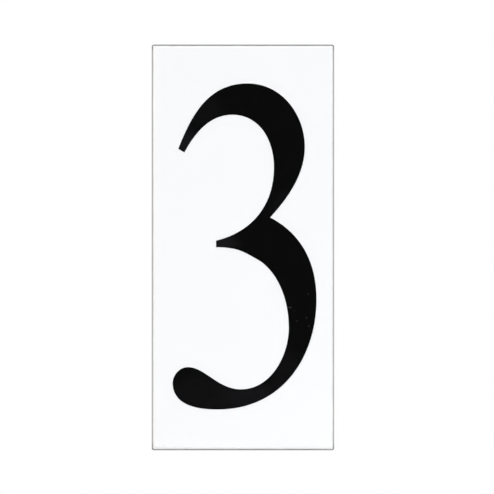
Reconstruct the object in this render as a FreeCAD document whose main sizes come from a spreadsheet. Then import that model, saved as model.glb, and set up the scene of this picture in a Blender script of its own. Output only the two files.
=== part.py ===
"""House number plaque: a pressed, glazed ceramic tile with a black enamel numeral fired onto its face.

Millimetres, +Z up. The origin is the middle of the back, the face that lies on the wall, in the plane Y = 0.
The numeral faces -Y. Its outline is a closed chain of curves whose nodes are its highest, lowest and
outermost points, its corners and one turn of the lower counter, all measured from its lower left corner.
"""

import FreeCAD, Part
import math
import os

import Sketcher

# Driving dimensions: alias, value, what it measures.
TILE_SIZES = (
    ("plaque_width", 57.15, "edge to edge across the face"),
    ("plaque_height", 127.0, "edge to edge up the face"),
    ("plaque_thickness", 6.35, "back to face"),
    ("corner_radius", 0.6, "upright corners, seen from the front"),
    ("face_edge_radius", 1.2, "cushioned edge where the glaze turns over the side"),
    ("back_edge_chamfer", 0.5, "pressed edge round the back"),
    ("edge_land", 0.4, "square side between the cushioned edge and the draft"),
    ("side_draft", 2.0, "degrees that the sides lean in, from the land to the back"),
    ("back_border", 4.6, "plain margin from the face's edge to the keying recesses"),
    ("rib_width", 2.2, "rib between two keying recesses"),
    ("recess_depth", 0.8, "keying recess, below the back"),
    ("recess_corner_radius", 1.4, "corner of a recess"),
    ("recess_draft", 15.0, "degrees that the walls of a recess open outwards"),
    ("recesses_across", 4, "columns of recesses"),
    ("recesses_up", 9, "rows of recesses"),
)
NUMERAL_SIZES = (
    ("enamel_thickness", 0.15, "enamel, above the glaze"),
    ("figure_width", 45.0, "side to side"),
    ("waist_height", 60.1, "foot to the notch between the bowls"),
    ("crown_height", 41.95, "notch between the bowls to the crown"),
    ("figure_shift_right", 0.5, "middle of the numeral, right of the tile's middle"),
    ("figure_shift_up", 0.275, "middle of the numeral, above the tile's middle"),
    ("crown_across", 23.4, "highest point of the upper bowl, from the left"),
    ("crown_stroke", 9.8, "stroke at the crown"),
    ("upper_bowl_inset", 3.65, "upper bowl's side, in from the lower bowl's"),
    ("upper_bowl_drop", 19.85, "upper bowl's widest level, below the crown"),
    ("upper_stem", 9.65, "stroke at the upper bowl's side"),
    ("upper_counter_across", 18.7, "top of the upper counter, from the left"),
    ("upper_counter_drop", 26.25, "upper counter's widest level, below the crown"),
    ("arm_across", 1.75, "outer corner of the arm's tip, from the left"),
    ("arm_drop", 20.45, "outer corner of the arm's tip, below the crown"),
    ("arm_tip_across", 1.9, "cut of the arm's tip, across"),
    ("arm_tip_drop", 1.15, "cut of the arm's tip, downwards"),
    ("waist_inset", 14.5, "notch between the bowls, in from the lower bowl's side"),
    ("tongue_across", 13.6, "end of the middle stroke, from the left"),
    ("tongue_drop", 9.3, "underside of the middle stroke's end, below the notch"),
    ("tongue_stroke", 2.05, "middle stroke at its end"),
    ("lower_bowl_up", 34.5, "lower bowl's widest level, above the foot"),
    ("lower_stem", 8.65, "stroke at the lower bowl's side"),
    ("counter_side_up", 25.6, "lower counter's widest level, above the foot"),
    ("counter_turn_inset", 18.45, "turn of the lower counter's shoulder, in from the lower bowl's side"),
    ("counter_turn_drop", 13.15, "turn of the lower counter's shoulder, below the notch"),
    ("counter_floor_across", 21.4, "floor of the lower counter, from the left"),
    ("foot_stroke", 6.3, "stroke below the lower counter"),
    ("foot_across", 14.0, "lowest point, from the left"),
    ("bulb_side_up", 8.4, "bulb's furthest point to the left, above the foot"),
    ("bulb_top_across", 4.8, "bulb's highest point, from the left"),
    ("bulb_top_up", 13.25, "bulb's highest point, above the foot"),
)
# A slope handle is how far a curve heads off from a corner, across and up.
SLOPE_HANDLES = (
    ("arm_back_across", 4.25, "back of the arm, from its tip"),
    ("arm_back_up", 10.85, "back of the arm, from its tip"),
    ("arm_belly_across", 2.9, "belly of the arm, from its tip"),
    ("arm_belly_up", 5.3, "belly of the arm, from its tip"),
    ("waist_over_across", 5.25, "upper bowl, from the waist"),
    ("waist_over_up", 5.7, "upper bowl, from the waist"),
    ("waist_under_across", 9.1, "lower bowl, from the waist"),
    ("waist_under_up", -4.65, "lower bowl, from the waist"),
    ("tongue_over_across", 10.65, "top of the middle stroke, from its end"),
    ("tongue_over_up", 2.55, "top of the middle stroke, from its end"),
    ("counter_turn_slope_across", 5.25, "lower counter, from its turn down to its side"),
    ("counter_turn_slope_up", -2.9, "lower counter, from its turn down to its side"),
    ("counter_turn_back_share", -0.72, "share of that slope, on the turn's other side"),
)
# A fullness is the share of the run between two nodes that a curve's level or upright handle covers.
FULLNESS = (
    ("crown_left_share", 0.56, "crown, towards the arm"),
    ("crown_right_share", 0.62, "crown, towards the upper bowl"),
    ("upper_bowl_above_share", 0.49, "upper bowl, above its widest level"),
    ("upper_bowl_below_share", 0.4, "upper bowl, below its widest level"),
    ("lower_bowl_above_share", 0.48, "lower bowl, above its widest level"),
    ("lower_bowl_below_share", 0.52, "lower bowl, below its widest level"),
    ("foot_right_share", 0.66, "foot, towards the lower bowl"),
    ("foot_left_share", 0.48, "foot, towards the bulb"),
    ("bulb_below_share", 0.83, "bulb, below its side"),
    ("bulb_above_share", 0.38, "bulb, above its side"),
    ("bulb_top_left_share", 0.64, "bulb's top, towards its side"),
    ("bulb_top_right_share", 0.32, "bulb's top, towards the counter's floor"),
    ("counter_floor_left_share", 0.44, "floor of the lower counter, towards the bulb"),
    ("counter_floor_right_share", 0.6, "floor of the lower counter, towards its side"),
    ("counter_side_below_share", 0.48, "lower counter, below its widest level"),
    ("counter_side_above_share", 0.49, "lower counter, above its widest level"),
    ("tongue_under_run_share", 0.55, "underside of the middle stroke, from its end"),
    ("upper_side_below_share", 0.54, "upper counter, below its widest level"),
    ("upper_side_above_share", 0.53, "upper counter, above its widest level"),
    ("upper_top_right_share", 0.64, "top of the upper counter, towards its side"),
    ("upper_top_left_share", 0.51, "top of the upper counter, towards the arm"),
)

# The numeral's height above its foot.
CROWN_LEVEL = "(dims.waist_height + dims.crown_height)"

# Nodes of the numeral's outline: across and up from its lower left corner.
NODES = {
    "arm_tip": ("dims.arm_across", f"{CROWN_LEVEL} - dims.arm_drop"),
    "crown": ("dims.crown_across", CROWN_LEVEL),
    "upper_bowl": ("dims.figure_width - dims.upper_bowl_inset", f"{CROWN_LEVEL} - dims.upper_bowl_drop"),
    "waist": ("dims.figure_width - dims.waist_inset", "dims.waist_height"),
    "lower_bowl": ("dims.figure_width", "dims.lower_bowl_up"),
    "foot": ("dims.foot_across", "0"),
    "bulb_side": ("0", "dims.bulb_side_up"),
    "bulb_top": ("dims.bulb_top_across", "dims.bulb_top_up"),
    "counter_floor": ("dims.counter_floor_across", "dims.foot_stroke"),
    "counter_side": ("dims.figure_width - dims.lower_stem", "dims.counter_side_up"),
    "counter_turn": (
        "dims.figure_width - dims.counter_turn_inset",
        "dims.waist_height - dims.counter_turn_drop",
    ),
    "tongue_under": ("dims.tongue_across", "dims.waist_height - dims.tongue_drop"),
    "tongue_over": ("dims.tongue_across", "dims.waist_height - dims.tongue_drop + dims.tongue_stroke"),
    "upper_side": (
        "dims.figure_width - dims.upper_bowl_inset - dims.upper_stem",
        f"{CROWN_LEVEL} - dims.upper_counter_drop",
    ),
    "upper_top": ("dims.upper_counter_across", f"{CROWN_LEVEL} - dims.crown_stroke"),
    "arm_tip_inner": (
        "dims.arm_across + dims.arm_tip_across",
        f"{CROWN_LEVEL} - dims.arm_drop - dims.arm_tip_drop",
    ),
}

# The outline, clockwise from the arm's tip: node, handle out of it, handle into the next, next node.
# A handle runs level, upright or on a slope, and a side with no handles is straight.
OUTLINE = (
    ("arm_tip", ("slope", "arm_back"), ("level", "crown_left"), "crown"),
    ("crown", ("level", "crown_right"), ("upright", "upper_bowl_above"), "upper_bowl"),
    ("upper_bowl", ("upright", "upper_bowl_below"), ("slope", "waist_over"), "waist"),
    ("waist", ("slope", "waist_under"), ("upright", "lower_bowl_above"), "lower_bowl"),
    ("lower_bowl", ("upright", "lower_bowl_below"), ("level", "foot_right"), "foot"),
    ("foot", ("level", "foot_left"), ("upright", "bulb_below"), "bulb_side"),
    ("bulb_side", ("upright", "bulb_above"), ("level", "bulb_top_left"), "bulb_top"),
    ("bulb_top", ("level", "bulb_top_right"), ("level", "counter_floor_left"), "counter_floor"),
    ("counter_floor", ("level", "counter_floor_right"), ("upright", "counter_side_below"), "counter_side"),
    ("counter_side", ("upright", "counter_side_above"), ("slope", "counter_turn_slope"), "counter_turn"),
    ("counter_turn", ("back", "counter_turn_slope"), ("level", "tongue_under_run"), "tongue_under"),
    ("tongue_under", None, None, "tongue_over"),
    ("tongue_over", ("slope", "tongue_over"), ("upright", "upper_side_below"), "upper_side"),
    ("upper_side", ("upright", "upper_side_above"), ("level", "upper_top_right"), "upper_top"),
    ("upper_top", ("level", "upper_top_left"), ("slope", "arm_belly"), "arm_tip_inner"),
    ("arm_tip_inner", None, None, "arm_tip"),
)

# The numeral's lower left corner.
FIGURE_LEFT = "(dims.figure_shift_right - dims.figure_width / 2)"
FIGURE_FOOT = f"(dims.figure_shift_up - {CROWN_LEVEL} / 2)"

# The tile is widest where its draft begins, this far in front of the wall.
DRAFT_LINE = "(dims.plaque_thickness - dims.face_edge_radius - dims.edge_land)"

# The first keying recess: its lower left corner and its size on the back.
RECESS_LEFT = "(dims.back_border - dims.plaque_width / 2)"
RECESS_BOTTOM = "(dims.back_border - dims.plaque_height / 2)"
RECESS_WIDTH = (
    "((dims.plaque_width - 2 * dims.back_border + dims.rib_width) / dims.recesses_across - dims.rib_width)"
)
RECESS_HEIGHT = (
    "((dims.plaque_height - 2 * dims.back_border + dims.rib_width) / dims.recesses_up - dims.rib_width)"
)

START, END, CENTRE = range(1, 4)
SKETCH_ORIGIN = (-1, START)
TOUCHING = 1e-6


def write_sheet(document):
    """The spreadsheet that holds every driving dimension under its alias."""
    sheet = document.addObject("Spreadsheet::Sheet", "dims")
    row = 0
    for sizes in (TILE_SIZES, NUMERAL_SIZES, SLOPE_HANDLES, FULLNESS):
        for alias, value, meaning in sizes:
            row += 1
            sheet.set(f"A{row}", meaning)
            sheet.set(f"B{row}", str(value))
            sheet.setAlias(f"B{row}", alias)
    document.recompute()


def origin_feature(body, role):
    """The plane or axis of a body's own origin that has this role."""
    for feature in body.Origin.OriginFeatures:
        if feature.Role == role:
            return feature
    raise ValueError(f"{body.Label} has no {role}")


def wall_sketch(body, name, forward):
    """A sketch parallel to the wall, in front of the origin by an expression: +X right and +Z up."""
    sketch = body.newObject("Sketcher::SketchObject", name)
    sketch.AttachmentSupport = [(origin_feature(body, "XZ_Plane"), "")]
    sketch.MapMode = "FlatFace"
    sketch.setExpression("AttachmentOffset.Base.z", forward)
    return sketch


def bind(sketch, rules):
    """Add constraints to a sketch, each with the expression that drives it or None."""
    numbers = sketch.addConstraint([constraint for constraint, expression in rules])
    for number, (constraint, expression) in zip(numbers, rules):
        if expression is not None:
            sketch.setExpression(f"Constraints[{number}]", expression)


def rule(kind, *ends):
    """A constraint that has no size."""
    return Sketcher.Constraint(kind, *ends), None


def sized(sketch, kind, ends, expression):
    """A constraint whose size is an expression."""
    return Sketcher.Constraint(kind, *ends, sketch.evalExpression(expression)), expression


def offset_rules(sketch, base, point, across, up):
    """Hold a point at expressions across and up from another. An expression of 0 keeps it in line."""
    rules = []
    for kind, in_line, expression in (("DistanceX", "Vertical", across), ("DistanceY", "Horizontal", up)):
        if expression == "0":
            rules.append(rule(in_line, *base, *point))
        elif sketch.evalExpression(expression) < 0:
            rules.append(sized(sketch, kind, (*point, *base), f"-({expression})"))
        else:
            rules.append(sized(sketch, kind, (*base, *point), expression))
    return rules


def chain_rules(sides):
    """Join each side's end to the start of the next, all the way round."""
    return [
        rule("Coincident", side, END, following, START)
        for side, following in zip(sides, sides[1:] + sides[:1])
    ]


def plaque_rectangle(body):
    """The tile's outline where it is widest, centred on the origin."""
    sketch = wall_sketch(body, "plaque_rectangle", DRAFT_LINE)
    half_width = sketch.evalExpression("dims.plaque_width / 2")
    half_height = sketch.evalExpression("dims.plaque_height / 2")
    signs = ((-1, -1), (1, -1), (1, 1), (-1, 1))
    corners = [FreeCAD.Vector(x * half_width, z * half_height, 0) for x, z in signs]
    lines = [Part.LineSegment(start, end) for start, end in zip(corners, corners[1:] + corners[:1])]
    bottom, right, top, left = sides = [sketch.addGeometry(line, False) for line in lines]
    bind(sketch, [
        *chain_rules(sides),
        *(rule("Horizontal", side) for side in (bottom, top)),
        *(rule("Vertical", side) for side in (left, right)),
        rule("Symmetric", bottom, START, top, START, *SKETCH_ORIGIN),
        sized(sketch, "DistanceX", (bottom, START, bottom, END), "dims.plaque_width"),
        sized(sketch, "DistanceY", (right, START, right, END), "dims.plaque_height"),
    ])
    return sketch


def recess_outline(body):
    """The lower left recess on the back: a rectangle with rounded corners."""
    sketch = wall_sketch(body, "recess_outline", "0")
    width, height, radius = (
        sketch.evalExpression(size) for size in (RECESS_WIDTH, RECESS_HEIGHT, "dims.recess_corner_radius")
    )
    left = sketch.evalExpression(RECESS_LEFT) + radius
    bottom = sketch.evalExpression(RECESS_BOTTOM) + radius
    right, top = left + width - 2 * radius, bottom + height - 2 * radius
    arcs = []
    for quarter, (x, z) in enumerate(((left, bottom), (right, bottom), (right, top), (left, top)), 2):
        circle = Part.Circle(FreeCAD.Vector(x, z, 0), FreeCAD.Vector(0, 0, 1), radius)
        arc = Part.ArcOfCircle(circle, quarter * math.pi / 2, (quarter + 1) * math.pi / 2)
        arcs.append(sketch.addGeometry(arc, False))
    sides = []
    for arc, following in zip(arcs, arcs[1:] + arcs[:1]):
        line = Part.LineSegment(sketch.getPoint(arc, END), sketch.getPoint(following, START))
        sides.append(sketch.addGeometry(line, False))
    rules = [sized(sketch, "Radius", (arcs[0],), "dims.recess_corner_radius")]
    for arc, side, following in zip(arcs, sides, arcs[1:] + arcs[:1]):
        rules.append(rule("Tangent", arc, END, side, START))
        rules.append(rule("Tangent", side, END, following, START))
    rules.extend(rule("Equal", arcs[0], arc) for arc in arcs[1:])
    rules.extend(rule("Horizontal", side) for side in sides[0::2])
    rules.extend(rule("Vertical", side) for side in sides[1::2])
    length, rise = (f"{size} - 2 * dims.recess_corner_radius" for size in (RECESS_WIDTH, RECESS_HEIGHT))
    rules.append(sized(sketch, "DistanceX", (sides[0], START, sides[0], END), length))
    rules.append(sized(sketch, "DistanceY", (sides[1], START, sides[1], END), rise))
    across, up = (f"{edge} + dims.recess_corner_radius" for edge in (RECESS_LEFT, RECESS_BOTTOM))
    rules.extend(offset_rules(sketch, SKETCH_ORIGIN, (arcs[0], CENTRE), across, up))
    bind(sketch, rules)
    return sketch


def edge_names(shape, test):
    """Names of the shape's edges that pass a test of their two ends."""
    names = []
    for number, edge in enumerate(shape.Edges, 1):
        ends = [vertex.Point for vertex in edge.Vertexes]
        if test(ends[0], ends[-1]):
            names.append(f"Edge{number}")
    return names


def tile_blank(document, body):
    """The pressed blank: drafted sides, cushioned face edge, rounded corners and an eased back edge."""
    rectangle = plaque_rectangle(body)
    front = body.newObject("PartDesign::Pad", "front_block")
    front.Profile = rectangle
    front.setExpression("Length", f"dims.plaque_thickness - {DRAFT_LINE}")

    back = body.newObject("PartDesign::Pad", "drafted_back")
    back.Profile = rectangle
    back.setExpression("Length", DRAFT_LINE)
    back.Reversed = True
    back.setExpression("TaperAngle", "-dims.side_draft")
    document.recompute()

    face = -back.evalExpression("dims.plaque_thickness")
    cushion = body.newObject("PartDesign::Fillet", "cushioned_edge")
    cushion.Base = (back, edge_names(back.Shape, lambda a, b: max(a.y, b.y) < face + TOUCHING))
    cushion.setExpression("Radius", "dims.face_edge_radius")
    document.recompute()

    corners = body.newObject("PartDesign::Fillet", "rounded_corners")
    corners.Base = (cushion, edge_names(cushion.Shape, lambda a, b: abs(a.y - b.y) > TOUCHING))
    corners.setExpression("Radius", "dims.corner_radius")
    document.recompute()

    eased = body.newObject("PartDesign::Chamfer", "eased_back_edge")
    eased.Base = (corners, edge_names(corners.Shape, lambda a, b: min(a.y, b.y) > -TOUCHING))
    eased.setExpression("Size", "dims.back_edge_chamfer")
    document.recompute()


def keying_recesses(document, body):
    """Shallow drafted recesses that key the back to its adhesive, in a lattice that bears on the wall."""
    recess = body.newObject("PartDesign::Pocket", "keying_recess")
    recess.Profile = recess_outline(body)
    recess.setExpression("Length", "dims.recess_depth")
    recess.Reversed = True
    recess.setExpression("TaperAngle", "-dims.recess_draft")
    document.recompute()

    lattice = body.newObject("PartDesign::LinearPattern", "keying_lattice")
    lattice.Originals = [recess]
    lattice.Mode = "Extent"
    lattice.Direction = (origin_feature(body, "X_Axis"), [""])
    lattice.setExpression("Length", f"({RECESS_WIDTH} + dims.rib_width) * (dims.recesses_across - 1)")
    lattice.setExpression("Occurrences", "dims.recesses_across")
    lattice.Mode2 = "Extent"
    lattice.Direction2 = (origin_feature(body, "Z_Axis"), [""])
    lattice.setExpression("Length2", f"({RECESS_HEIGHT} + dims.rib_width) * (dims.recesses_up - 1)")
    lattice.setExpression("Occurrences2", "dims.recesses_up")
    body.Tip = lattice
    document.recompute()


def make_tile(document):
    """The ceramic tile with its glaze, which is fired on and is one with it."""
    body = document.addObject("PartDesign::Body", "ceramic_tile")
    tile_blank(document, body)
    keying_recesses(document, body)
    return body


def handle_reach(handle, node, far_node):
    """How far a curve's handle reaches from its node, across and up, as expressions."""
    kind, name = handle
    if kind == "slope":
        return f"dims.{name}_across", f"dims.{name}_up"
    if kind == "back":
        share = "dims.counter_turn_back_share"
        return f"{share} * dims.{name}_across", f"{share} * dims.{name}_up"
    runs = (f"(({far}) - ({near}))" for near, far in zip(NODES[node], NODES[far_node]))
    across, up = (f"dims.{name}_share * {run}" for run in runs)
    return (across, "0") if kind == "level" else ("0", up)


def numeral_outline(body):
    """The numeral's closed outline, flat on the glaze."""
    sketch = wall_sketch(body, "numeral_outline", "dims.plaque_thickness")

    def offset(point, reach):
        across, up = (sketch.evalExpression(expression) for expression in reach)
        return point + FreeCAD.Vector(across, up, 0)

    corner_place = offset(FreeCAD.Vector(), (FIGURE_LEFT, FIGURE_FOOT))
    corner = (sketch.addGeometry(Part.Point(corner_place), True), START)
    rules = offset_rules(sketch, SKETCH_ORIGIN, corner, FIGURE_LEFT, FIGURE_FOOT)

    sides = []
    for node, handle_out, handle_in, next_node in OUTLINE:
        start = offset(corner_place, NODES[node])
        end = offset(corner_place, NODES[next_node])
        if handle_out is None:
            side = sketch.addGeometry(Part.LineSegment(start, end), False)
        else:
            reach_out = handle_reach(handle_out, node, next_node)
            reach_in = handle_reach(handle_in, next_node, node)
            curve = Part.BSplineCurve()
            poles = [start, offset(start, reach_out), offset(end, reach_in), end]
            curve.buildFromPolesMultsKnots(poles, [4, 4], [0, 1], False, 3)
            side = sketch.addGeometry(curve, False)
            sketch.exposeInternalGeometry(side)
            first, second, third, last = ((side + number, CENTRE) for number in (1, 2, 3, 4))
            rules.extend(offset_rules(sketch, first, second, *reach_out))
            rules.extend(offset_rules(sketch, last, third, *reach_in))
        rules.extend(offset_rules(sketch, corner, (side, START), *NODES[node]))
        sides.append(side)
    bind(sketch, rules + chain_rules(sides))
    return sketch


def make_numeral(document):
    """The enamel numeral, which stands on the glaze."""
    body = document.addObject("PartDesign::Body", "enamel_numeral")
    enamel = body.newObject("PartDesign::Pad", "enamel")
    enamel.Profile = numeral_outline(body)
    enamel.setExpression("Length", "dims.enamel_thickness")
    document.recompute()
    return body


def check(document, bodies):
    """Stop on a feature that failed, a loose sketch or a solid that isn't sound."""
    for item in document.Objects:
        if "Invalid" in item.State or "Error" in item.State:
            raise RuntimeError(f"{item.Label} failed: {item.State}")
        if item.isDerivedFrom("Sketcher::SketchObject") and not item.FullyConstrained:
            raise RuntimeError(f"{item.Label} is not fully constrained")
    for body in bodies:
        if body.Shape.isNull() or not body.Shape.isValid() or len(body.Shape.Solids) != 1:
            raise RuntimeError(f"{body.Label} is not one sound solid")


def main():
    document = FreeCAD.newDocument("house_number_plaque")
    write_sheet(document)
    bodies = (make_tile(document), make_numeral(document))
    document.recompute()
    check(document, bodies)
    os.makedirs("parts", exist_ok=True)
    for body in bodies:
        body.Shape.exportStep(f"parts/{body.Label}.step")
        box = body.Shape.optimalBoundingBox()
        size = f"{box.XLength:.2f} x {box.YLength:.2f} x {box.ZLength:.2f} mm"
        print(f"{body.Label}: {size}, {body.Shape.Volume:.1f} mm3")


main()
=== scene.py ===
"""House number plaque: a glazed tile with a black enamel numeral, stood on its lower edge on a pale floor.

Metres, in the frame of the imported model: +Z up the plaque, -Y out of its face, its back in the plane Y = 0.
The tile is modelled here with its softened back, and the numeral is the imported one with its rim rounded.
"""

import math
from collections import namedtuple

import bmesh
import bpy
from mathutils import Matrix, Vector


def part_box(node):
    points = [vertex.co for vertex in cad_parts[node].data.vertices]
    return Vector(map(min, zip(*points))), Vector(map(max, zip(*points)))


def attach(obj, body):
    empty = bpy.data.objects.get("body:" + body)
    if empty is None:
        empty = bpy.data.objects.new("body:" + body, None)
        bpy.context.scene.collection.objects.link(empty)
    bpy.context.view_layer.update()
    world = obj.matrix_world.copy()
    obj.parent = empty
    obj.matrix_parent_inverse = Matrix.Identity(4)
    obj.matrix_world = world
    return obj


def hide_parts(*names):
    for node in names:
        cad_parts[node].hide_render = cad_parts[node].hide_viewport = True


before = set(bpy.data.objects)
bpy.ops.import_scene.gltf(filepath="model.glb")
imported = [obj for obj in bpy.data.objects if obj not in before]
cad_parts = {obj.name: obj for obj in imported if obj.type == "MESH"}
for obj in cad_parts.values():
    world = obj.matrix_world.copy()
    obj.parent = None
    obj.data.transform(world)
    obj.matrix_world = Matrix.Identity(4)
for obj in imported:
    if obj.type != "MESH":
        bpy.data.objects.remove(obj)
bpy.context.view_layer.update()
tile_low, tile_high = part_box("ceramic_tile")
tile_width, tile_thickness, tile_height = tile_high - tile_low

MM = 0.001
ACROSS = Vector((1, 0, 0))
UP = Vector((0, 0, 1))

# The photo, and where the plaque's middle is in it.
PHOTO_PIXELS = 494
PIXELS_PER_METRE = 3195
PLAQUE_MIDDLE_ACROSS = 242.97
PLAQUE_MIDDLE_DOWN = 247.32

# The tile, as it is pressed. Its overall size is read from the frame.
CORNER_RADIUS = 0.6 * MM
FACE_EDGE_RADIUS = 1.2 * MM
EDGE_LAND = 0.4 * MM
SIDE_DRAFT = math.radians(2)
BACK_EDGE_CHAMFER = 0.5 * MM
BACK_BORDER = 4.6 * MM
RIB_WIDTH = 2.2 * MM
RECESS_DEPTH = 0.8 * MM
RECESS_CORNER_RADIUS = 1.4 * MM
RECESS_DRAFT = math.radians(15)
RECESSES_ACROSS = 4
RECESSES_UP = 9

# What the press and the fire soften.
RECESS_RIM_ROUND = 0.22 * MM
RECESS_FLOOR_ROUND = 0.3 * MM
BACK_EDGE_ROUND = 0.12 * MM
ENAMEL_RIM_ROUND = 0.035 * MM
SHARPEST_SMOOTHED = math.radians(40)

# Points nearer than this, and faces flatter than this to each other, are one.
TOUCHING = 0.002 * MM
FLAT = math.radians(0.05)


def from_photo(across, down):
    """A pixel of the photo as a place on the plaque: right of its middle and up from it."""
    right = (across - PLAQUE_MIDDLE_ACROSS) / PIXELS_PER_METRE
    up = (PLAQUE_MIDDLE_DOWN - down) / PIXELS_PER_METRE
    return right, up


# Modelling

def select_only(piece):
    """Make a piece the only one selected, and the active one."""
    bpy.ops.object.select_all(action="DESELECT")
    bpy.context.view_layer.objects.active = piece
    piece.select_set(True)


def start_editing(piece):
    """Open a piece for editing, with nothing picked."""
    select_only(piece)
    bpy.ops.object.mode_set(mode="EDIT")
    bpy.ops.mesh.select_mode(type="VERT")
    bpy.ops.mesh.select_all(action="DESELECT")


def stop_editing():
    """Close the piece that is being edited."""
    bpy.ops.object.mode_set(mode="OBJECT")


def pick(kind, test):
    """Select the faces or edges of the piece being edited that pass a test, and nothing else."""
    bpy.ops.mesh.select_mode(type={"faces": "FACE", "edges": "EDGE"}[kind])
    bpy.ops.mesh.select_all(action="DESELECT")
    mesh = bpy.context.edit_object.data
    work = bmesh.from_edit_mesh(mesh)
    for item in getattr(work, kind):
        if test(item):
            item.select_set(True)
    work.select_flush_mode()
    bmesh.update_edit_mesh(mesh)


def at_level(item, level):
    """Whether all of an edge or face lies in the plane Y = level."""
    return all(abs(vert.co.y - level) < TOUCHING for vert in item.verts)


def middle_of(edge):
    """The middle of an edge."""
    return (edge.verts[0].co + edge.verts[1].co) / 2


def finish_with(piece, kind, **settings):
    """Add a modifier to a piece and apply it."""
    bpy.context.view_layer.objects.active = piece
    modifier = piece.modifiers.new(kind.lower(), kind)
    for name, value in settings.items():
        setattr(modifier, name, value)
    bpy.ops.object.modifier_apply(modifier=modifier.name)


def smooth(piece):
    """Shade a piece smooth over its rounded edges, with its flat faces kept flat."""
    select_only(piece)
    bpy.ops.object.shade_smooth_by_angle(angle=SHARPEST_SMOOTHED)
    finish_with(piece, "WEIGHTED_NORMAL", keep_sharp=True, weight=100)


def tile_blank():
    """The pressed blank: drafted sides, cushioned face edge and rounded corners, cut from a block."""
    bpy.ops.object.select_all(action="DESELECT")
    bpy.ops.mesh.primitive_cube_add(
        size=1, location=(tile_low + tile_high) / 2, scale=(tile_width, tile_thickness, tile_height)
    )
    tile = bpy.context.object
    tile.name = tile.data.name = "glazed_tile"
    bpy.ops.object.transform_apply(location=True, rotation=True, scale=True)

    start_editing(tile)
    draft_line = tile_low.y + FACE_EDGE_RADIUS + EDGE_LAND
    bpy.ops.mesh.select_all(action="SELECT")
    bpy.ops.mesh.bisect(plane_co=(0, draft_line, 0), plane_no=(0, 1, 0))
    lean = (tile_high.y - draft_line) * math.tan(SIDE_DRAFT)
    pick("faces", lambda face: at_level(face, tile_high.y))
    bpy.ops.transform.resize(
        value=(1 - 2 * lean / tile_width, 1, 1 - 2 * lean / tile_height),
        center_override=(0, tile_high.y, 0),
    )
    pick("edges", lambda edge: at_level(edge, tile_low.y))
    bpy.ops.transform.edge_bevelweight(value=1)
    pick("edges", lambda edge: abs(edge.verts[0].co.y - edge.verts[1].co.y) > TOUCHING)
    bpy.ops.transform.edge_bevelweight(value=CORNER_RADIUS / FACE_EDGE_RADIUS)
    stop_editing()
    finish_with(
        tile, "BEVEL", width=FACE_EDGE_RADIUS, segments=8, limit_method="WEIGHT", use_clamp_overlap=False
    )
    return tile


def cut_back(direction, distance):
    """Cut the tile's back right through, at a distance from its middle."""
    pick("faces", lambda face: at_level(face, tile_high.y))
    bpy.ops.mesh.bisect(plane_co=distance * direction, plane_no=direction)


def press_back(tile):
    """The eased back edge, and the lattice of shallow keying recesses with softened rims."""
    back = tile_high.y
    floor = back - RECESS_DEPTH
    field_across = tile_width - 2 * BACK_BORDER + RIB_WIDTH
    field_up = tile_height - 2 * BACK_BORDER + RIB_WIDTH

    def in_field(place):
        """Whether a place is among the recesses."""
        return abs(place.x) < field_across / 2 and abs(place.z) < field_up / 2

    def is_wall_corner(edge):
        """Whether an edge is where two walls of a recess meet."""
        middle = middle_of(edge)
        return in_field(middle) and abs(middle.y - (back + floor) / 2) < TOUCHING

    def meets_wall(edge, level):
        """Whether an edge lies at a level, with a face that leaves that level on one side of it."""
        leaning = [face for face in edge.link_faces if not at_level(face, level)]
        return at_level(edge, level) and len(leaning) == 1

    start_editing(tile)
    pick("edges", lambda edge: at_level(edge, back))
    bpy.ops.mesh.bevel(offset=BACK_EDGE_CHAMFER, segments=1, affect="EDGES")
    for number in range(RECESSES_ACROSS + 1):
        cut_back(ACROSS, (number / RECESSES_ACROSS - 0.5) * field_across)
    for number in range(RECESSES_UP + 1):
        cut_back(UP, (number / RECESSES_UP - 0.5) * field_up)

    pick("faces", lambda face: at_level(face, back) and in_field(face.calc_center_median()))
    bpy.ops.mesh.inset(thickness=RIB_WIDTH / 2, use_individual=True)
    bpy.ops.mesh.inset(
        thickness=RECESS_DEPTH * math.tan(RECESS_DRAFT), depth=-RECESS_DEPTH, use_individual=True
    )
    pick("edges", is_wall_corner)
    bpy.ops.mesh.bevel(offset=RECESS_CORNER_RADIUS, segments=4, affect="EDGES")
    pick("edges", lambda edge: in_field(middle_of(edge)) and meets_wall(edge, floor))
    bpy.ops.mesh.bevel(offset=RECESS_FLOOR_ROUND, segments=2, affect="EDGES")
    pick("edges", lambda edge: in_field(middle_of(edge)) and meets_wall(edge, back))
    bpy.ops.mesh.bevel(offset=RECESS_RIM_ROUND, segments=3, affect="EDGES")
    pick("edges", lambda edge: not in_field(middle_of(edge)) and meets_wall(edge, back))
    bpy.ops.mesh.bevel(offset=BACK_EDGE_ROUND, segments=2, affect="EDGES")
    stop_editing()


def model_tile():
    """The glazed tile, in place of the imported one."""
    tile = tile_blank()
    press_back(tile)
    smooth(tile)
    return tile


def model_numeral():
    """The numeral's layer of enamel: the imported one, made one skin, with the rim of its top rounded."""
    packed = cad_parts["enamel_numeral"]
    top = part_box("enamel_numeral")[0].y
    numeral = bpy.data.objects.new("enamel_figure", packed.data.copy())
    numeral.data.name = "enamel_figure"
    numeral.data.materials.clear()
    bpy.context.scene.collection.objects.link(numeral)

    start_editing(numeral)
    bpy.ops.mesh.customdata_custom_splitnormals_clear()
    bpy.ops.mesh.select_all(action="SELECT")
    bpy.ops.mesh.remove_doubles(threshold=TOUCHING)
    bpy.ops.mesh.dissolve_limited(angle_limit=FLAT)
    pick("edges", lambda edge: at_level(edge, top))
    bpy.ops.mesh.bevel(offset=ENAMEL_RIM_ROUND, segments=3, affect="EDGES")
    stop_editing()
    smooth(numeral)
    return numeral


# Nodes

def add(tree, kind, **settings):
    """Add a node to a tree, with its settings."""
    made = tree.nodes.new(kind)
    for name, value in settings.items():
        setattr(made, name, value)
    return made


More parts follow.
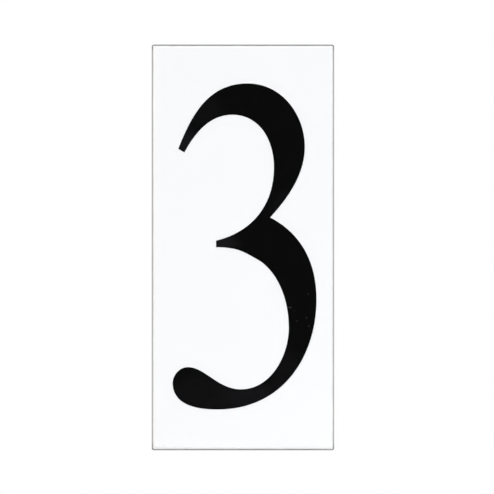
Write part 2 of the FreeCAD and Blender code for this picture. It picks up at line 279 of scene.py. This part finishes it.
def feed(tree, socket, source):
    """Give a socket a value, or link it to another node's output."""
    if isinstance(source, bpy.types.NodeSocket):
        tree.links.new(source, socket)
    else:
        socket.default_value = source


def result_of(tree, kind, *sources, **settings):
    """Add a node, feed the inputs that its settings leave open in order, and give its open output."""
    made = add(tree, kind, **settings)
    open_inputs = (socket for socket in made.inputs if socket.enabled)
    for source, socket in zip(sources, open_inputs):
        feed(tree, socket, source)
    return next(socket for socket in made.outputs if socket.enabled)


def maths(tree, operation, *sources, clamped=False):
    """The result of a sum."""
    return result_of(tree, "ShaderNodeMath", *sources, operation=operation, use_clamp=clamped)


def blended(tree, share, first, second):
    """A colour that goes from the first to the second as the share goes from 0 to 1."""
    return result_of(tree, "ShaderNodeMix", share, first, second, data_type="RGBA")


def between(tree, share, first, second):
    """A number that goes from the first to the second as the share goes from 0 to 1."""
    return result_of(tree, "ShaderNodeMix", share, first, second, data_type="FLOAT")


def ramp(tree, value, start, end, first=0.0, last=1.0):
    """A number eased from first to last as the value goes from start to end."""
    return result_of(
        tree, "ShaderNodeMapRange", value, start, end, first, last, interpolation_type="SMOOTHSTEP"
    )


def noise(tree, place, grain, detail=2.0, roughness=0.5):
    """Soft noise from 0 to 1, whose lumps are about one grain across."""
    made = add(tree, "ShaderNodeTexNoise")
    feed(tree, made.inputs["Vector"], place)
    made.inputs["Scale"].default_value = 1 / grain
    made.inputs["Detail"].default_value = detail
    made.inputs["Roughness"].default_value = roughness
    return made.outputs["Fac"]


def place_on_piece(tree):
    """The place of a point on the piece."""
    return add(tree, "ShaderNodeTexCoord").outputs["Object"]


def new_group(name, inputs, output):
    """A shader node group from named numbers to a named number: its tree, input node and output node."""
    group = bpy.data.node_groups.new(name, "ShaderNodeTree")
    for title, value in inputs.items():
        socket = group.interface.new_socket(title, in_out="INPUT", socket_type="NodeSocketFloat")
        socket.default_value = value
    group.interface.new_socket(output, in_out="OUTPUT", socket_type="NodeSocketFloat")
    return group, add(group, "NodeGroupInput"), add(group, "NodeGroupOutput")


def place_group(tree, group, **values):
    """Place a group in a material, and give its inputs their values."""
    made = add(tree, "ShaderNodeGroup", node_tree=group)
    for name, value in values.items():
        feed(tree, made.inputs[name.replace("_", " ").capitalize()], value)
    return made


def make_fired_ripple():
    """The slow waviness and fine orange peel of glass that was fired onto clay, as a height from 0 to 1."""
    inputs = {"Wave length": 9 * MM, "Peel length": 1.3 * MM, "Peel share": 0.12}
    group, given, result = new_group("fired_ripple", inputs, output="Height")
    place = place_on_piece(group)
    layers = []
    for length in ("Wave length", "Peel length"):
        layer = add(group, "ShaderNodeTexNoise")
        layer.inputs["Detail"].default_value = 1
        feed(group, layer.inputs["Vector"], place)
        feed(group, layer.inputs["Scale"], maths(group, "DIVIDE", 1.0, given.outputs[length]))
        layers.append(layer.outputs["Fac"])
    feed(group, result.inputs["Height"], between(group, given.outputs["Peel share"], *layers))
    return group


def make_soft_mark():
    """A soft, uneven mark on the face, at a place right of the plaque's middle and up from it."""
    inputs = {"Across": 0.0, "Up": 0.0, "Half width": MM, "Half height": MM}
    group, given, result = new_group("soft_mark", inputs, output="Mask")
    axes = add(group, "ShaderNodeSeparateXYZ")
    feed(group, axes.inputs["Vector"], place_on_piece(group))
    squares = []
    lumps_at = add(group, "ShaderNodeCombineXYZ")
    for axis, middle, half in (("X", "Across", "Half width"), ("Z", "Up", "Half height")):
        away = maths(group, "SUBTRACT", axes.outputs[axis], given.outputs[middle])
        share = maths(group, "DIVIDE", away, given.outputs[half])
        squares.append(maths(group, "MULTIPLY", share, share))
        feed(group, lumps_at.inputs[axis], maths(group, "DIVIDE", axes.outputs[axis], given.outputs[half]))
    lumps = noise(group, lumps_at.outputs["Vector"], grain=1.1)
    uneven = ramp(group, lumps, start=0.25, end=0.75, first=0.65, last=1.4)
    even_distance = maths(group, "SQRT", maths(group, "ADD", *squares))
    distance = maths(group, "MULTIPLY", even_distance, uneven)
    feed(group, result.inputs["Mask"], ramp(group, distance, start=1.0, end=0.3))
    return group


def new_material(name):
    """A new material: itself, its tree and its Principled shader."""
    material = bpy.data.materials.new(name)
    material.use_nodes = True
    tree = material.node_tree
    return material, tree, tree.nodes["Principled BSDF"]


def raise_surface(tree, shader, height):
    """Raise a shader's surface by a height in metres."""
    bump = add(tree, "ShaderNodeBump")
    bump.inputs["Distance"].default_value = 1.0
    feed(tree, bump.inputs["Height"], height)
    feed(tree, shader.inputs["Normal"], bump.outputs["Normal"])


# A soft mark on the face. Across and down are the pixel of the photo that it is at.
Mark = namedtuple("Mark", "across down half_width half_height strength")


def marked(tree, colour, soft_mark, marks, mark_colour):
    """A colour with soft marks laid over it."""
    for mark in marks.values():
        across, up = from_photo(mark.across, mark.down)
        placed = place_group(
            tree, soft_mark, across=across, up=up, half_width=mark.half_width, half_height=mark.half_height
        )
        share = maths(tree, "MULTIPLY", placed.outputs["Mask"], mark.strength)
        colour = blended(tree, share, colour, mark_colour)
    return colour


# The ceramic

# The glaze ends on the sides, between these distances from the back.
GLAZE_LINE_NEAR = 1.9 * MM
GLAZE_LINE_FAR = 3.6 * MM
GLAZE_LINE_BLUR = 0.12 * MM
GLAZE_RUN_WIDTH = 7 * MM

# Painted shade of the rounded face edge: a grey band, partly where the glaze draws thin over the edge, this
# far in from the outline and behind the face.
EDGE_SHADE_WIDTH = 0.44 * MM
EDGE_SHADE_FADE = 0.12 * MM
EDGE_SHADE_WAVER = 0.03 * MM
EDGE_SHADE_BACK = 0.8 * MM
EDGE_SHADE_BACK_FADE = 0.5 * MM

# The painted edge shade is darkest at the top and the foot, and at the foot its band is narrower.
DARKEST_SHADE_END = 0.8 * MM
DARKEST_SHADE_END_FADE = 2.2 * MM
FOOT_NARROWING_HEIGHT = 1 * MM
FOOT_NARROWING_FADE = 2 * MM
FOOT_NARROWING = 0.24 * MM

# The left side is a little warmer than the rest of the face.
WARM_SIDE_WIDTH = 1 * MM
WARM_SIDE_FADE = 1.4 * MM

# Its clouds and waves, this far apart. Peel is the share of a wave's height that is fine orange peel.
GLAZE_CLOUD = 14 * MM
GLAZE_WAVE = 9 * MM
GLAZE_WAVE_HEIGHT = 0.012 * MM
GLAZE_PEEL = 0.12
GLAZE_THICKNESS = 0.06 * MM
GLAZE_ROUGHNESS = 0.06
GLAZE_IOR = 1.43

GLAZE_WHITE = (0.93, 0.94, 0.955, 1)
GLAZE_WHITE_CLOUDED = (0.923, 0.932, 0.947, 1)
GLAZE_WARM = (0.945, 0.94, 0.935, 1)
GLAZE_SMUDGED = (0.55, 0.54, 0.55, 1)
# Painted shade of the rounded face edge, partly thin glaze: the grey of the band along the edge.
GLAZE_EDGE_SHADE = (0.47, 0.47, 0.47, 1)
# Painted shade, darker grey at the top and the foot.
GLAZE_END_SHADE = (0.32, 0.32, 0.32, 1)

CLAY_GRAIN = 0.4 * MM
CLAY_SPECK = 0.8 * MM
CLAY_CLOUD = 9 * MM
CLAY_PORE_DEPTH = 0.09 * MM

# Clay dust and painted shade darken the floors of the recesses, and none lies this near to the outline.
DUST_AND_SHADE_RISE = 0.1 * MM
DUST_AND_SHADE_BORDER = 2 * MM
DUST_AND_SHADE_BORDER_FADE = 1 * MM

CLAY_PALE = (0.85, 0.83, 0.785, 1)
CLAY_DEEP = (0.73, 0.7, 0.64, 1)
CLAY_GRAINY = (0.68, 0.645, 0.58, 1)
# Dust and painted shade, on the floors of the recesses.
CLAY_DUST_AND_SHADE = (0.725, 0.7, 0.65, 1)
CLAY_SPECKED = (0.36, 0.3, 0.23, 1)

# Two faint smudges, both near the lower left corner.
SMUDGES_IN_GLAZE = {
    "larger": Mark(across=164.5, down=446.2, half_width=0.75 * MM, half_height=0.6 * MM, strength=0.16),
    "smaller": Mark(across=172.2, down=442.4, half_width=0.6 * MM, half_height=0.45 * MM, strength=0.07),
}

# A point of the tile: its place, its distances right, up and forward, and in from the nearer side and end.
Spot = namedtuple("Spot", "place right up forward from_side from_end")


def spot_on_tile(tree):
    """The point of the tile that a material colours."""
    place = place_on_piece(tree)
    axes = add(tree, "ShaderNodeSeparateXYZ")
    feed(tree, axes.inputs["Vector"], place)
    right = axes.outputs["X"]
    up = axes.outputs["Z"]
    return Spot(
        place=place,
        right=right,
        up=up,
        forward=maths(tree, "MULTIPLY", axes.outputs["Y"], -1.0),
        from_side=maths(tree, "SUBTRACT", tile_width / 2, maths(tree, "ABSOLUTE", right)),
        from_end=maths(tree, "SUBTRACT", tile_height / 2, maths(tree, "ABSOLUTE", up)),
    )


def glaze_cover(tree, spot, wander):
    """1 where glaze covers the clay. It ends in a line that wanders, and runs down in places."""
    line = ramp(tree, wander, start=0.3, end=0.75, first=GLAZE_LINE_FAR, last=GLAZE_LINE_NEAR)
    past_line = maths(tree, "SUBTRACT", spot.forward, line)
    return ramp(tree, past_line, -GLAZE_LINE_BLUR, GLAZE_LINE_BLUR)


def painted_edge_shade(tree, spot, wander):
    """1 on the grey band along the edge of the face: painted shade of the rounded edge, partly glaze that
    draws thin over it.
    """
    # Painted edge shade: its band is narrower at the foot.
    narrowing_full = tile_low.z + FOOT_NARROWING_HEIGHT
    narrowing = ramp(tree, spot.up, narrowing_full + FOOT_NARROWING_FADE, narrowing_full, first=0.0, last=FOOT_NARROWING)
    inset = maths(tree, "MINIMUM", spot.from_side, maths(tree, "ADD", spot.from_end, narrowing))
    waver = ramp(tree, wander, start=0.3, end=0.7, first=-EDGE_SHADE_WAVER, last=EDGE_SHADE_WAVER)
    inset = maths(tree, "ADD", inset, waver)
    # The band of painted edge shade, this far in from the outline.
    turned = ramp(tree, inset, EDGE_SHADE_WIDTH + EDGE_SHADE_FADE, EDGE_SHADE_WIDTH)
    line = tile_thickness - EDGE_SHADE_BACK
    in_front = ramp(tree, spot.forward, line - EDGE_SHADE_BACK_FADE, line)
    return maths(tree, "MULTIPLY", turned, in_front)


def glaze_colour(tree, spot, wander, soft_mark):
    """Cool white, faintly clouded, warmer down the left side, smudged near the foot, with painted shade: grey
    along the edge, darkest at the top and the foot.
    """
    glaze = blended(tree, noise(tree, spot.place, GLAZE_CLOUD), GLAZE_WHITE, GLAZE_WHITE_CLOUDED)
    warm_full = WARM_SIDE_WIDTH - tile_width / 2
    glaze = blended(tree, ramp(tree, spot.right, warm_full + WARM_SIDE_FADE, warm_full), glaze, GLAZE_WARM)
    glaze = marked(tree, glaze, soft_mark, SMUDGES_IN_GLAZE, GLAZE_SMUDGED)
    # Painted edge shade: darkest at the top and the foot.
    at_end = ramp(tree, spot.from_end, DARKEST_SHADE_END + DARKEST_SHADE_END_FADE, DARKEST_SHADE_END)
    edge_shade_grey = blended(tree, at_end, GLAZE_EDGE_SHADE, GLAZE_END_SHADE)
    # Painted shade: grey along the edge of the face.
    return blended(tree, painted_edge_shade(tree, spot, wander), glaze, edge_shade_grey)


def clay_colour(tree, spot, grain):
    """Pressed clay: clouded and grainy, darker on the floors of the recesses with dust and painted shade,
    with a few dark specks.
    """
    cloud = noise(tree, spot.place, CLAY_CLOUD, detail=4.0, roughness=0.6)
    clay = blended(tree, ramp(tree, cloud, start=0.3, end=0.7), CLAY_PALE, CLAY_DEEP)
    clay = blended(tree, ramp(tree, grain, start=0.42, end=0.62), clay, CLAY_GRAINY)

    # Dust and painted shade: darker on the floors of the recesses.
    deep = ramp(tree, spot.forward, DUST_AND_SHADE_RISE, RECESS_DEPTH - DUST_AND_SHADE_RISE)
    inset = maths(tree, "MINIMUM", spot.from_side, spot.from_end)
    deep = maths(tree, "MULTIPLY", deep, ramp(tree, inset, DUST_AND_SHADE_BORDER, DUST_AND_SHADE_BORDER + DUST_AND_SHADE_BORDER_FADE))
    dust_and_shade = ramp(tree, grain, start=0.3, end=0.6, first=0.35, last=0.7)
    clay = blended(tree, maths(tree, "MULTIPLY", deep, dust_and_shade), clay, CLAY_DUST_AND_SHADE)

    speck = noise(tree, spot.place, CLAY_SPECK, detail=1.0)
    return blended(tree, ramp(tree, speck, start=0.74, end=0.77, first=0.0, last=0.55), clay, CLAY_SPECKED)


def glazed_ceramic(soft_mark, ripple):
    """White glaze over the face and part of the sides, and bare pressed clay behind it."""
    material, tree, shader = new_material("glazed_ceramic")
    spot = spot_on_tile(tree)
    wander = noise(tree, spot.place, GLAZE_RUN_WIDTH, detail=3.0, roughness=0.55)
    grain = noise(tree, spot.place, CLAY_GRAIN, detail=6.0, roughness=0.8)
    glazed = glaze_cover(tree, spot, wander)

    clay = clay_colour(tree, spot, grain)
    glaze = glaze_colour(tree, spot, wander, soft_mark)
    feed(tree, shader.inputs["Base Color"], blended(tree, glazed, clay, glaze))
    clay_roughness = ramp(tree, grain, start=0.2, end=0.8, first=0.75, last=0.95)
    feed(tree, shader.inputs["Roughness"], between(tree, glazed, clay_roughness, GLAZE_ROUGHNESS))
    shader.inputs["IOR"].default_value = GLAZE_IOR

    waves = place_group(tree, ripple, wave_length=GLAZE_WAVE, peel_share=GLAZE_PEEL).outputs["Height"]
    glaze_height = maths(tree, "MULTIPLY_ADD", waves, GLAZE_WAVE_HEIGHT, GLAZE_THICKNESS)
    clay_height = maths(tree, "MULTIPLY", grain, CLAY_PORE_DEPTH)
    raise_surface(tree, shader, between(tree, glazed, clay_height, glaze_height))
    return material


# The enamel

ENAMEL_CLOUD = 3 * MM
ENAMEL_GLOSS_CLOUD = 2 * MM
ENAMEL_WAVE = 5 * MM
ENAMEL_WAVE_HEIGHT = 0.01 * MM
ENAMEL_PEEL = 0.2
ENAMEL_IOR = 1.45

ENAMEL_BLACK = (0.0019, 0.002, 0.0019, 1)
ENAMEL_BLACK_CLOUDED = (0.0025, 0.0026, 0.0025, 1)
# Partly thin enamel, partly painted sheen: grey and a little bluish.
ENAMEL_THIN_AND_SHEEN = (0.0076, 0.0076, 0.0086, 1)
ENAMEL_SPECKED = (0.032, 0.032, 0.033, 1)

# Where the black is a little grey and bluish, by the part of the numeral: partly thin enamel, partly painted
# sheen. The streak is in the bulb.
THIN_AND_SHEEN_PLACES_IN_ENAMEL = {
    "arm": Mark(across=186, down=146, half_width=6.5 * MM, half_height=7 * MM, strength=1.0),
    "shoulder": Mark(across=206, down=112, half_width=8 * MM, half_height=8 * MM, strength=0.3),
    "upper bowl": Mark(across=283, down=208, half_width=4.5 * MM, half_height=7 * MM, strength=0.4),
    "tongue": Mark(across=222, down=243, half_width=7 * MM, half_height=4 * MM, strength=0.9),
    "lower bowl": Mark(across=288, down=372, half_width=9 * MM, half_height=9 * MM, strength=0.35),
    "foot": Mark(across=252, down=396, half_width=12 * MM, half_height=7 * MM, strength=0.7),
    "bulb": Mark(across=199, down=392, half_width=15 * MM, half_height=9 * MM, strength=0.36),
    "streak": Mark(across=210, down=403.5, half_width=0.9 * MM, half_height=2.4 * MM, strength=0.5),
}

# A few pale specks, all in the right of the lower bowl.
SPECKS_IN_ENAMEL = {
    "highest": Mark(across=308.4, down=294.0, half_width=0.36 * MM, half_height=0.3 * MM, strength=0.8),
    "largest": Mark(across=290.1, down=307.3, half_width=0.62 * MM, half_height=0.34 * MM, strength=1.0),
    "smallest": Mark(across=294.4, down=310.6, half_width=0.34 * MM, half_height=0.22 * MM, strength=0.5),
    "faintest": Mark(across=306.7, down=317.9, half_width=0.5 * MM, half_height=0.26 * MM, strength=0.45),
    "middle": Mark(across=296.9, down=320.6, half_width=0.36 * MM, half_height=0.26 * MM, strength=0.55),
    "lowest": Mark(across=308.4, down=326.0, half_width=0.36 * MM, half_height=0.3 * MM, strength=0.8),
}


def black_enamel(soft_mark, ripple):
    """Gloss black enamel, a little grey and bluish in places, partly thin enamel and partly painted sheen,
    with a few pale specks in it.
    """
    material, tree, shader = new_material("black_enamel")
    place = place_on_piece(tree)
    colour = blended(tree, noise(tree, place, ENAMEL_CLOUD), ENAMEL_BLACK, ENAMEL_BLACK_CLOUDED)
    # Partly thin enamel, partly painted sheen, at the listed places.
    colour = marked(tree, colour, soft_mark, THIN_AND_SHEEN_PLACES_IN_ENAMEL, ENAMEL_THIN_AND_SHEEN)
    colour = marked(tree, colour, soft_mark, SPECKS_IN_ENAMEL, ENAMEL_SPECKED)
    feed(tree, shader.inputs["Base Color"], colour)
    gloss_cloud = noise(tree, place, ENAMEL_GLOSS_CLOUD)
    roughness = ramp(tree, gloss_cloud, start=0.2, end=0.8, first=0.04, last=0.06)
    feed(tree, shader.inputs["Roughness"], roughness)
    shader.inputs["IOR"].default_value = ENAMEL_IOR
    waves = place_group(tree, ripple, wave_length=ENAMEL_WAVE, peel_share=ENAMEL_PEEL).outputs["Height"]
    raise_surface(tree, shader, maths(tree, "MULTIPLY", waves, ENAMEL_WAVE_HEIGHT))
    return material


# The studio

WORLD_LEVEL = 0.3
FLOOR_RADIUS = 0.45
FLOOR_EVEN_RADIUS = 0.135
FLOOR_TONE = (0.6, 0.6, 0.6, 1)
FLOOR_LIFT = 0.25
WHITE = (1, 1, 1, 1)
BLACK = (0, 0, 0, 1)

# The middle of the plaque's back, which the lamps and the card are turned to.
PLAQUE_MIDDLE = (0, 0, 0)
DARK_CARD_SIZE = 3.2
DARK_CARD_PLACE = (0, -2.2, 0.2)
DARK_CARD_TONE = (0.03, 0.031, 0.031, 1)
CAMERA_DISTANCE = 0.5


def sees_backdrop(tree):
    """1 for the rays that show the white backdrop: the camera's, and those of gloss and of clear things."""
    path = add(tree, "ShaderNodeLightPath")
    total = maths(tree, "ADD", path.outputs["Is Camera Ray"], path.outputs["Is Glossy Ray"])
    return maths(tree, "ADD", total, path.outputs["Is Transmission Ray"], clamped=True)


def white_room():
    """A white backdrop on all sides, whose light on the plaque is soft and even."""
    world = bpy.data.worlds.new("white_room")
    world.use_nodes = True
    bpy.context.scene.world = world
    tree = world.node_tree
    background = tree.nodes["Background"]
    background.inputs["Color"].default_value = WHITE
    feed(tree, background.inputs["Strength"], between(tree, sees_backdrop(tree), WORLD_LEVEL, 1.0))


def pale_floor():
    """A pale floor that keeps the plaque's shadow. For the camera it is lifted, to white at its rim."""
    bpy.ops.object.select_all(action="DESELECT")
    bpy.ops.mesh.primitive_circle_add(
        vertices=96, radius=FLOOR_RADIUS, fill_type="NGON", location=(0, 0, tile_low.z)
    )
    floor = bpy.context.object
    floor.name = "pale_floor"
    material, tree, shader = new_material("pale_floor")
    away = result_of(tree, "ShaderNodeVectorMath", place_on_piece(tree), operation="LENGTH")
    faded = ramp(tree, away, FLOOR_EVEN_RADIUS, FLOOR_RADIUS)
    feed(tree, shader.inputs["Base Color"], blended(tree, faded, FLOOR_TONE, BLACK))
    shader.inputs["Roughness"].default_value = 0.9
    shader.inputs["Specular IOR Level"].default_value = 0
    shader.inputs["Emission Color"].default_value = WHITE
    lift = between(tree, faded, FLOOR_LIFT, 1.0)
    feed(tree, shader.inputs["Emission Strength"], maths(tree, "MULTIPLY", sees_backdrop(tree), lift))
    floor.data.materials.append(material)


def aim(thing, place, target):
    """Put a lamp, card or camera at a place, looking at a target."""
    thing.location = place
    thing.rotation_euler = (Vector(target) - Vector(place)).to_track_quat("-Z", "Y").to_euler()


def softbox(name, azimuth, elevation, distance, width, height, level, glare=False):
    """A softbox aimed at the plaque, which doesn't show. With glare, gloss mirrors it.

    At level 1 it alone lights a surface that faces it so that its colour renders as written.
    """
    light = bpy.data.lights.new(name, "AREA")
    light.shape = "RECTANGLE"
    light.size = width
    light.size_y = height
    light.energy = level * (math.pi * distance) ** 2
    lamp = bpy.data.objects.new(name, light)
    bpy.context.scene.collection.objects.link(lamp)
    lamp.visible_camera = False
    lamp.visible_glossy = glare
    turn = math.radians(azimuth)
    rise = math.radians(elevation)
    direction = Vector((math.sin(turn) * math.cos(rise), -math.cos(turn) * math.cos(rise), math.sin(rise)))
    aim(lamp, distance * direction, PLAQUE_MIDDLE)


def softboxes():
    """Large softboxes left, right and above, and smaller ones that fill the front, sides and back."""
    for side, way in (("left", -1), ("right", 1)):
        softbox(
            f"{side}_softbox", azimuth=40 * way, elevation=17, distance=2.0,
            width=0.9, height=1.15, level=0.266, glare=True,
        )
        softbox(
            f"{side}_fill", azimuth=102 * way, elevation=12, distance=1.5, width=0.8, height=0.8, level=0.14
        )
    softbox(
        "top_softbox", azimuth=0, elevation=46, distance=2.0, width=1.6, height=0.9, level=0.18, glare=True
    )
    softbox("front_fill", azimuth=0, elevation=8, distance=1.2, width=0.6, height=0.3, level=0.24)
    softbox("back_fill", azimuth=155, elevation=20, distance=1.5, width=0.6, height=0.6, level=0.64)


def dark_card():
    """A dark card behind the camera, which the gloss of the face mirrors. Nothing but gloss sees it."""
    bpy.ops.object.select_all(action="DESELECT")
    bpy.ops.mesh.primitive_plane_add(size=DARK_CARD_SIZE)
    card = bpy.context.object
    card.name = "dark_card"
    aim(card, DARK_CARD_PLACE, PLAQUE_MIDDLE)
    material, tree, shader = new_material("dark_card")
    tree.nodes.remove(shader)
    glow = add(tree, "ShaderNodeEmission")
    glow.inputs["Color"].default_value = DARK_CARD_TONE
    feed(tree, tree.nodes["Material Output"].inputs["Surface"], glow.outputs["Emission"])
    card.data.materials.append(material)
    card.visible_camera = False
    card.visible_diffuse = False
    card.visible_transmission = False
    card.visible_shadow = False


def camera():
    """A camera that looks straight at the face, with no perspective, framed as the photo is."""
    lens = bpy.data.cameras.new("camera")
    lens.type = "ORTHO"
    lens.ortho_scale = PHOTO_PIXELS / PIXELS_PER_METRE
    lens.clip_start = 0.01
    lens.clip_end = 10
    seat = bpy.data.objects.new("camera", lens)
    bpy.context.scene.collection.objects.link(seat)
    across, up = from_photo(PHOTO_PIXELS / 2, PHOTO_PIXELS / 2)
    aim(seat, (across, -CAMERA_DISTANCE, up), (across, 0, up))
    bpy.context.scene.camera = seat


def studio():
    """The white room, the floor, the dark card, the softboxes and the camera."""
    bpy.context.scene.view_settings.view_transform = "Standard"
    white_room()
    pale_floor()
    dark_card()
    softboxes()
    camera()


def main():
    """Build the plaque and its studio."""
    soft_mark = make_soft_mark()
    ripple = make_fired_ripple()
    for piece, node, slot, material in (
        (model_tile(), "ceramic_tile", "white_glaze", glazed_ceramic(soft_mark, ripple)),
        (model_numeral(), "enamel_numeral", "black_enamel", black_enamel(soft_mark, ripple)),
    ):
        piece.data.materials.append(material)
        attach(piece, "root")
        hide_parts(node)
    studio()


main()
